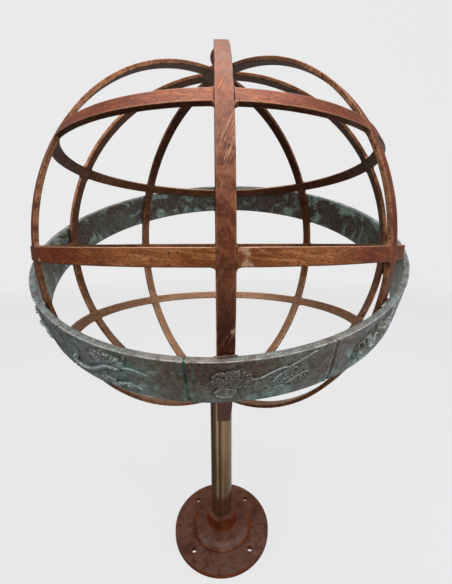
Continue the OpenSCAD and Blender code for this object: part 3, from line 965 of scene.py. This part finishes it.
def sheaf(r):
    for k in range(17):
        lean = (k - 8) * 4.6
        r.stroke([(106 - lean * 0.7, 8), (106 - lean * 0.1, 34), (106 + lean * 0.9, 68)], 1.7, 1.4, 1.1)
        r.stroke([(106 + lean * 0.9, 64), (106 + lean, 80 - abs(lean) * 0.12)], 3.2, 1.9, 1.2)
    r.settle()
    r.stroke([(93, 33), (106, 31), (119, 34)], 4.0, 1.3)
    for side in (-1, 1):
        r.spiral(106 + side * 58, 36, 15, 1.7, 2.0, 1.5, 90, side)
        r.curls(106 + side * 52, 62, 14, 9, 50, 5.0, 1.2, 1.0)
        r.stroke([(106 + side * 30, 20), (106 + side * 50, 14), (106 + side * 70, 22)], 1.8, 1.4, 0.8)


def scales(r):
    r.stroke([(106, 10), (106, 76)], 3.4, 2.2, 2.2)
    r.stroke([(56, 66), (82, 72), (106, 70), (130, 72), (156, 66)], 3.0, 2.0)
    r.dome(106, 78, 5, 5, 2.6)
    r.stroke([(90, 10), (122, 10)], 4.0, 2.0)
    for x in (56, 156):
        for dx in (-18, 0, 18):
            r.stroke([(x, 66), (x + dx, 34)], 1.2, 1.1)
        r.stroke([(x - 20, 33), (x - 12, 24), (x, 21), (x + 12, 24), (x + 20, 33)], 3.0, 2.2, 3.0)
    r.curls(106, 40, 34, 16, 40, 7, 1.2, 0.8)


def scorpion(r):
    for k in range(6):
        r.dome(68 + 10 * k, 36 + 1.5 * k, 8, 11 - k, 2.6)
    r.settle()
    r.curls(92, 38, 28, 9, 90, 4.0, 1.2, 0.9)
    r.stroke([(124, 44), (140, 44), (154, 50), (162, 62), (154, 74), (140, 76)], 5.4, 2.2, 1.6)
    for side in (-1, 1):
        r.stroke([(64, 36), (48, 36 + side * 12), (32, 36 + side * 20)], 3.0, 2.0, 2.2)
        r.stroke([(32, 36 + side * 20), (20, 36 + side * 22), (14, 36 + side * 12)], 4.6, 2.0, 1.2)
        for k in range(4):
            x = 76 + 11 * k
            leg = [(x, 38 + side * 8), (x + 6, 38 + side * 24), (x + 12, 38 + side * 30)]
            r.stroke(leg, 2.0, 1.5, 0.9)


def archer(r):
    r.stroke([(68, 10), (96, 22), (106, 44), (96, 66), (68, 78)], 3.8, 2.4, 3.8)
    r.stroke([(68, 10), (60, 44), (68, 78)], 1.2, 1.2)
    r.stroke([(38, 44), (158, 44)], 2.2, 2.0)
    r.stroke([(146, 54), (164, 44), (146, 34)], 3.4, 2.4, 2.0)
    for side in (-1, 1):
        r.hatch([(36, 44), (60, 44)], 6, 10, 1.5, 1.5, 130 * side)
    r.curls(128, 20, 28, 9, 70, 6, 1.2, 1.0)
    r.curls(132, 68, 26, 9, 70, 6, 1.2, 1.0)


def goat(r):
    r.dome(84, 42, 34, 17, 2.4, 6)
    r.dome(132, 58, 14, 11, 2.6, 30)
    r.settle()
    r.stroke([(134, 66), (122, 80), (102, 80)], 3.4, 2.0, 1.0)
    r.stroke([(128, 66), (112, 74), (94, 72)], 3.0, 1.8, 0.9)
    r.stroke([(54, 40), (36, 30), (28, 44), (16, 62)], 6.6, 2.2, 2.0)
    r.curls(86, 43, 30, 14, 130, 5.0, 1.3, 1.0)
    r.stroke([(102, 32), (116, 20), (130, 26)], 4.4, 2.0, 2.6)
    r.stroke([(90, 30), (98, 14), (114, 10)], 4.4, 2.0, 2.6)
    r.hatch([(144, 50), (148, 44), (146, 38)], 5, 8, 1.2, 1.1, -80)


def waters(r):
    r.dome(58, 56, 20, 15, 2.6, 30)
    r.settle()
    r.stroke([(68, 64), (80, 74), (90, 72)], 5.0, 2.2, 6.0)
    r.stroke([(42, 62), (36, 76), (50, 78)], 2.4, 1.7, 1.8)
    for k in range(6):
        y = 64 - 10 * k
        wave = [(90 - 3 * k, y), (106, y + 5), (122, y - 4), (138, y + 5), (154, y - 4), (176, y + 4)]
        r.stroke(wave, 1.8, 1.5, 1.0)
    r.curls(56, 56, 15, 11, 40, 5.0, 1.2, 0.9)


def fishes(r):
    for y, side in ((58, 1), (26, -1)):
        r.dome(102, y, 38, 10, 2.6, 4 * side)
        r.settle()
        tail = 102 - side * 38
        r.hatch([(tail, y - 4), (tail, y + 4)], 6, 15, 1.8, 1.6, 90 * side)
        for k in range(8):
            x = 102 + side * (k * 7 - 24)
            r.stroke([(x - side * 3, y - 7), (x, y), (x - side * 3, y + 7)], 1.2, 0.9, 1.2)
        r.dome(102 + side * 29, y + 2, 2, 2, 3.2)
    r.stroke([(140, 58), (158, 50), (158, 34), (146, 22)], 1.5, 1.3, 1.5)


# from the panel that spans the band's lowest point, round to the right
MOTIFS = [lion, bull, sheaf, scales, scorpion, archer, goat, waters, fishes, ram, twins, beast]
# how sharp the joint is at the left and right end of a panel; 1 unless given here
JOINT_CRISP = {"zodiac_panel_01": (1.0, 0.45), "zodiac_panel_02": (0.45, 1.0)}
PITCH = 0.65 * MM
EDGE_ROUND = 0.9 * MM
GROUND_DEPTH = 1.3 * MM
RIM_LINES = 7
BACK_LINES = 15
# at a panel's ends, in mm: width of the joint, then place and width of the bank and the scribed line
JOINT = 2.9
BANK, BANK_WIDTH = 5.2, 1.6
SCRIBE, SCRIBE_WIDTH = 10.5, 0.9


def panel_angles(name):
    angle, _, _ = band_coordinates(node_points(name))
    middle = math.atan2(np.sin(angle).mean(), np.cos(angle).mean())
    offset = (angle - middle + math.pi) % (2 * math.pi) - math.pi
    return middle + offset.min(), middle + offset.max()


def blurred(field, reach, times):
    """Average with the cells `reach` away, several times; the border keeps its own values."""
    out = field.copy()
    k = reach
    for _ in range(times):
        beside = out[:-2 * k, k:-k] + out[2 * k:, k:-k] + out[k:-k, :-2 * k] + out[k:-k, 2 * k:]
        out[k:-k, k:-k] = (beside + out[k:-k, k:-k]) / 5
    return out


def bell(distance, width):
    return np.exp(-((distance / width) ** 2))


def carving_marks(carved, patch):
    """Hollows beside raised work, for painted shade and patina, and ridges on top of it, for painted
    highlights, each from 0 to 1.
    """
    soft = blurred(carved, 1, 8)
    broad = blurred(soft, 4, 8)
    hollow_shade_and_patina = np.clip((soft - carved) * 2.2 + (broad - soft) * 1.3 - 0.12, 0, 0.92)
    ridge_highlight = np.clip((carved - soft) * 1.3 + (soft - broad) * 0.35 - 0.25, 0, 1.0)
    return hollow_shade_and_patina * np.clip(0.9 + patch, 0.4, 1), ridge_highlight * np.clip(0.75 + 1.1 * patch, 0.3, 1)


def rim_face(side, angle, radius, to_end, seed):
    """Top or bottom face of a panel: lines of points from the outer skin in to the inner radius."""
    share = np.arange(1, RIM_LINES + 1)[:, None] / RIM_LINES
    ring_radius = radius * (1 - share) + BAND_R_IN * share
    smooth = band_point(angle, ring_radius, side * BAND_H / 2)
    sag = 0.18 * MM * (1 + noise(smooth / MM, 6.0, seed + 8)) + 0.3 * MM * (share == 1)
    notch = 1.1 * MM * np.clip(1 - to_end / 1.6, 0, 1)
    return band_point(angle, ring_radius, side * (BAND_H / 2 - sag - notch))


def inner_skin(angle, seed):
    """Rough inner face of a panel, from the top down."""
    share = np.arange(1, BACK_LINES + 1)[:, None] / (BACK_LINES + 1)
    level = BAND_H / 2 - BAND_H * share
    rough = 0.12 * MM * (1 + fractal(band_point(angle, BAND_R_IN, level) / MM, 18.0, 3, seed + 9))
    return band_point(angle, BAND_R_IN + rough, level)


def zodiac_panel(name, motif, seed):
    """A cast panel: relief on the outer skin, a rim, a rough inner skin and open joints at its ends."""
    start, end = panel_angles(name)
    length = (end - start) * BAND_R_OUT
    columns, rows = int(length / PITCH), int(BAND_H / PITCH)
    share_x = np.linspace(0, 1, columns)
    grid_x, grid_y = np.meshgrid(share_x, np.linspace(0, 1, rows), indexing="ij")
    x_mm, y_mm = grid_x * length / MM, grid_y * BAND_H / MM
    r = Relief(x_mm, y_mm, seed)
    motif(r)
    angle = start + grid_x * (end - start)
    height = (grid_y - 0.5) * BAND_H
    flat = band_point(angle, BAND_R_OUT, height) / MM
    # joint: each panel ends in a lip, then falls away, with one thin scribed line beside it
    to_end = np.minimum(x_mm, length / MM - x_mm)
    wobble = 0.5 * noise(np.stack([y_mm, x_mm * 0, x_mm * 0 + seed], -1), 9.0, seed + 4)
    left_crisp, right_crisp = JOINT_CRISP.get(name, (1.0, 1.0))
    crisp = np.where(grid_x < 0.5, left_crisp, right_crisp)
    joint = crisp * np.clip((JOINT + wobble - to_end) / JOINT, 0, 1) ** 0.7
    bank = bell(to_end - BANK - wobble, BANK_WIDTH)
    scribe = crisp**3 * bell(to_end - SCRIBE - wobble, SCRIBE_WIDTH)
    cast = fractal(flat, 22.0, 4, seed + 5)
    grit = fractal(flat, 2.6, 3, seed + 6)
    pits = np.clip(noise(flat, 3.4, seed + 10) - 0.55, 0, 1)
    relief = r.h * (1 + 0.16 * grit) + 0.24 * grit + 0.45 * cast - 1.0 * pits
    relief = relief - 2.6 * joint + 0.6 * bank - 0.9 * scribe
    # the long edges are rounded
    to_edge = np.minimum(height + BAND_H / 2, BAND_H / 2 - height)
    bow = np.clip(EDGE_ROUND**2 - np.clip(EDGE_ROUND - to_edge, 0, None) ** 2, 0, None)
    radius = BAND_R_OUT - GROUND_DEPTH + relief * MM - (EDGE_ROUND - np.sqrt(bow))
    radius = np.maximum(radius, BAND_R_IN + 3 * MM)
    outer = band_point(angle, radius, height)
    # marks for the patina and for the painted shade and highlights
    patch = fractal(flat, 30.0, 3, seed + 7)
    hollow_shade_and_patina, ridge_highlight = carving_marks(r.h + 0.3 * grit, patch)
    seam = crisp * np.clip(joint * 1.2 + 0.6 * scribe, 0, 1) * np.clip(0.9 + patch, 0.5, 1)
    from_low, from_high = (height + BAND_H / 2) / MM, (BAND_H / 2 - height) / MM
    fringe = 0.6 * bank + np.exp(-from_low / 14) - 0.35 * np.exp(-from_high / 20)
    rim = np.clip(1.2 - to_edge / (1.1 * MM), 0, 1) * (height > 0) * 0.9
    lip_highlight = bell(to_edge, 0.9 * MM) * (height > 0)

    # lines of points round the section: up the outer skin, in, down the inner skin and out again
    line_angle = start + share_x * (end - start)
    top = rim_face(1, line_angle, radius[:, -1], to_end[:, 0], seed)
    bottom = rim_face(-1, line_angle, radius[:, 0], to_end[:, 0], seed)
    lines = np.concatenate([outer.transpose(1, 0, 2), top, inner_skin(line_angle, seed), bottom[::-1]])

    def around(outer_mark, top_mark=0.0, back_mark=0.0, bottom_mark=0.0):
        rest = ((top_mark, RIM_LINES), (back_mark, BACK_LINES), (bottom_mark, RIM_LINES))
        rest = [np.broadcast_to(mark, (count, columns)) for mark, count in rest]
        return np.concatenate([outer_mark.T, *rest])

    back_height = 1 - 2 * np.arange(1, BACK_LINES + 1)[:, None] / (BACK_LINES + 1)
    marks = {
        "hollow_shade_and_patina": around(hollow_shade_and_patina), "ridge_highlight": around(ridge_highlight), "seam": around(seam), "lip_highlight": around(lip_highlight),
        "rim": around(rim, 1.0, 0.0, 0.35),
        "fringe": around(fringe, 0.0, back_height**2 - 0.2),
        "inside": around(np.zeros((columns, rows)), 0.0, 1.0),
    }
    faces = grid_faces(len(lines), columns, wrap_rows=True)[:, [0, 3, 2, 1]].tolist()
    left_end = [line * columns for line in range(len(lines))]
    faces += [left_end[::-1], [corner + columns - 1 for corner in left_end]]
    obj = make_object(name + "_cast", lines.reshape(-1, 3), faces, VERDIGRIS)
    for key, values in marks.items():
        set_attribute(obj, key, values)
    put_on_cage(obj, name)


def braze_beads():
    """Rough ridges of braze where each rib meets the band's inner edges."""
    vertices, faces, start = [], [], 0
    around, length_steps = 10, 18
    bead, reach = 2.9 * MM, 0.66 * BAR_W / BAND_R_IN
    share = 2 * np.arange(length_steps + 1) / length_steps - 1
    swell = 0.6 * np.sqrt(np.maximum(1 - share**2, 0)) + 0.4 * (np.abs(share) < 0.999)
    turn = 2 * math.pi * np.arange(around)[:, None] / around
    tilt_sin = np.linalg.norm(np.cross(BAND_AXIS, UP))
    low_longitude = math.atan2(BAND_LOW[0], -BAND_LOW[1])
    for longitude, side in itertools.product(RIB_LONGITUDES, (-1, 1)):
        # latitude where the rib passes this edge of the band
        a, b = tilt_sin * math.cos(longitude - low_longitude), BAND_AXIS @ UP
        level = (BAND_LIFT + side * BAND_H / 2) / R
        latitude = math.atan2(b, a) - math.acos(level / math.hypot(a, b))
        out = outward(latitude, longitude)
        angle, _, _ = band_coordinates(CENTRE + (R + 1.2 * MM) * out)
        core = band_point(angle + share * reach, BAND_R_IN - 0.4 * MM, BAND_H / 2 * side)
        ring = np.cos(turn) * BAND_AXIS * 0.8 + np.sin(turn) * out
        vertices.append((core[:, None] + bead * swell[:, None, None] * ring).reshape(-1, 3))
        faces += capped_tube(length_steps + 1, around, start)
        start += len(vertices[-1])
    vertices = np.concatenate(vertices)
    for size, strength in ((9.0, 1.3), (3.6, 0.9)):
        vertices += strength * MM * shake(vertices, size * MM, 41)
    put_on_cage(make_object("band_braze", vertices, faces, BRAZE), "band_braze_beads")


# ---- stand ----

def keep_cad(names, material, bevel=0.4 * MM):
    """A CAD node whose shape is right keeps it, with softened edges and its material."""
    for name in names:
        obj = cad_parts[name]
        obj.data.materials.clear()
        obj.data.materials.append(material)
        modifier = obj.modifiers.new("soft_edges", "BEVEL")
        modifier.width = bevel
        modifier.segments = 2
        modifier.limit_method = "ANGLE"
        obj.data.polygons.foreach_set("use_smooth", [True] * len(obj.data.polygons))
        layers = obj.data.uv_layers
        layer = layers[0] if layers else layers.new()
        layer.name = "bar"


def build_cage():
    for k, (name, longitude) in enumerate(zip(RIBS, RIB_LONGITUDES)):
        meridian_rib(name, longitude, SEED + 10 * k)
    for k, (name, latitude) in enumerate(RING_LATITUDES.items()):
        latitude_ring(name, latitude, SEED + 100 + 10 * k)
    crossing_welds()
    for k, (name, motif) in enumerate(zip(PANELS, MOTIFS)):
        zodiac_panel(name, motif, SEED + 200 + 10 * k)
    braze_beads()
    keep_cad(["north_hub_plate", "south_hub_plate", "finial", "finial_nut"], RIB_BROWN, 0.8 * MM)


def build_stand():
    keep_cad(["foot"], RIB_BROWN, 1.0 * MM)
    keep_cad(["post_tube", "lock_boss", "lock_knob"], DULL)
    keep_cad(["thrust_washer", "upper_bush", "lower_bush", "lock_pad"], BEARING, 0.2 * MM)
    keep_cad(["spindle", "spindle_bolt", "spindle_dowels", "spindle_circlip"], STEEL, 0.2 * MM)
    keep_cad(["foot_grub_screws", "lock_screw"], STEEL, 0.2 * MM)


# ---- studio ----

SKY_STRENGTH = 1.15
SEEN_GREY = 0.7
# paper sweep in metres: where the wall stands, radius of its foot, height of its top
SWEEP_REACH, SWEEP_BEND, SWEEP_TOP = 7.0, 3.0, 12.0
SWEEP_TURNS, BEND_STEPS = 96, 16
# the view of the photo: back and up from the cage's centre in cage radii, lens in mm, angles in degrees
CAMERA_BACK, CAMERA_UP = 1.8191, 0.0431
LENS = 17.33
LOOK_DOWN, LOOK_TURN, LOOK_ROLL = 10.01, -1.165, 0.157


def surroundings():
    """Soft light from above, less from behind and below, and plain grey for the camera; studio() makes
    the paper sweep seen by the camera only.
    """
    world = bpy.data.worlds.new("studio_world")
    bpy.context.scene.world = world
    world.use_nodes = True
    n = Nodes(tree=world.node_tree)
    direction = n.add("ShaderNodeTexCoord").outputs["Generated"]
    parts = n.add("ShaderNodeSeparateXYZ", Vector=direction)
    height = n.math("ADD", n.times(parts.outputs["Z"], 0.5), 0.5)
    level = n.ramp(height, (0.0, 0.10), (0.42, 0.16), (0.56, 0.34), (0.75, 0.62), (1.0, 1.0))
    depth = n.math("ADD", n.times(parts.outputs["Y"], 0.5), 0.5)
    fall = n.ramp(depth, (0.0, 1.0), (0.45, 0.9), (0.75, 0.4), (1.0, 0.5))
    level = n.mix(1.0, level, fall, "MULTIPLY")
    # upright cards low round the tube, by direction: bright at the front left, wide and dim on the right
    turn = n.math("ARCTAN2", parts.outputs["X"], n.times(parts.outputs["Y"], -1.0))
    turn = n.math("ADD", n.math("DIVIDE", turn, 2 * math.pi), 0.5)
    cards = n.ramp(turn, (0.0, 0.4), (0.164, 0.0), (0.30, 0.0), (0.342, 0.25), (0.372, 0.85),
                   (0.395, 0.85), (0.42, 0.2), (0.44, 0.0), (0.47, 0.02), (0.50, 0.3), (0.55, 0.64),
                   (0.575, 0.6), (0.625, 0.45), (0.69, 0.36), (0.80, 0.5), (1.0, 0.4))
    low_down = n.ramp(height, (0.10, 0.0), (0.18, 1.0), (0.42, 1.0), (0.5, 0.0))
    cards = n.mix(1.0, cards, low_down, "MULTIPLY")
    level = n.mix(1.0, level, cards, "ADD")
    background = world.node_tree.nodes["Background"]
    seen = n.add("ShaderNodeLightPath").outputs["Is Camera Ray"]
    n.feed(background.inputs["Color"], n.mix(seen, level, SEEN_GREY))
    background.inputs["Strength"].default_value = SKY_STRENGTH


def softbox(name, location, width, height, power):
    """Area light that looks at the cage."""
    light = bpy.data.lights.new(name, "AREA")
    light.shape = "RECTANGLE"
    light.size, light.size_y, light.energy = width, height, power
    obj = bpy.data.objects.new(name, light)
    obj.location = location
    obj.rotation_euler = Vector(CENTRE - np.array(location)).to_track_quat("-Z", "Y").to_euler()
    bpy.context.scene.collection.objects.link(obj)


def studio():
    """Floor and wall in one sweep of paper, and three lights."""
    bends = [math.pi / 2 * k / BEND_STEPS for k in range(BEND_STEPS + 1)]
    flat = SWEEP_REACH - SWEEP_BEND
    profile = [(flat + SWEEP_BEND * math.sin(t), SWEEP_BEND - SWEEP_BEND * math.cos(t)) for t in bends]
    profile = [(0.02, 0.0), *profile, (SWEEP_REACH, SWEEP_TOP)]
    turns = np.arange(SWEEP_TURNS) * 2 * math.pi / SWEEP_TURNS
    vertices = [(x * math.sin(t), -x * math.cos(t), z) for x, z in profile for t in turns]
    faces = grid_faces(len(profile), SWEEP_TURNS, wrap_columns=True)
    sweep = make_object("studio_sweep", vertices, faces, stage_paper())
    sweep.visible_diffuse = False
    sweep.visible_glossy = False
    sweep.visible_shadow = False
    softbox("top", (0.0, -0.4, 3.4), 2.4, 2.4, 80)
    softbox("left_strip", (-1.9, -1.9, 1.9), 0.5, 1.8, 19)
    softbox("right_strip", (2.2, -1.5, 1.6), 0.7, 1.8, 22)


def camera():
    """Close, wide view from just above the centre of the cage, looking a little down."""
    data = bpy.data.cameras.new("camera")
    data.sensor_width = 36.0
    data.lens = LENS
    obj = bpy.data.objects.new("camera", data)
    obj.location = CENTRE + R * np.array([0.0, -CAMERA_BACK, CAMERA_UP])
    down, turn, roll = (math.radians(angle) for angle in (LOOK_DOWN, LOOK_TURN, LOOK_ROLL))
    look = Matrix.Rotation(turn, 4, "Z") @ Matrix.Rotation(-down, 4, "X") @ Matrix.Rotation(roll, 4, "Y")
    # the camera's own axes: x right, y up, z back
    obj.matrix_world = Matrix.Translation(obj.location) @ look @ Matrix.Rotation(math.pi / 2, 4, "X")
    data.clip_end = 60.0
    bpy.context.scene.collection.objects.link(obj)
    bpy.context.scene.camera = obj


build_cage()
build_stand()
surroundings()
studio()
camera()
bpy.context.scene.view_settings.view_transform = "Standard"
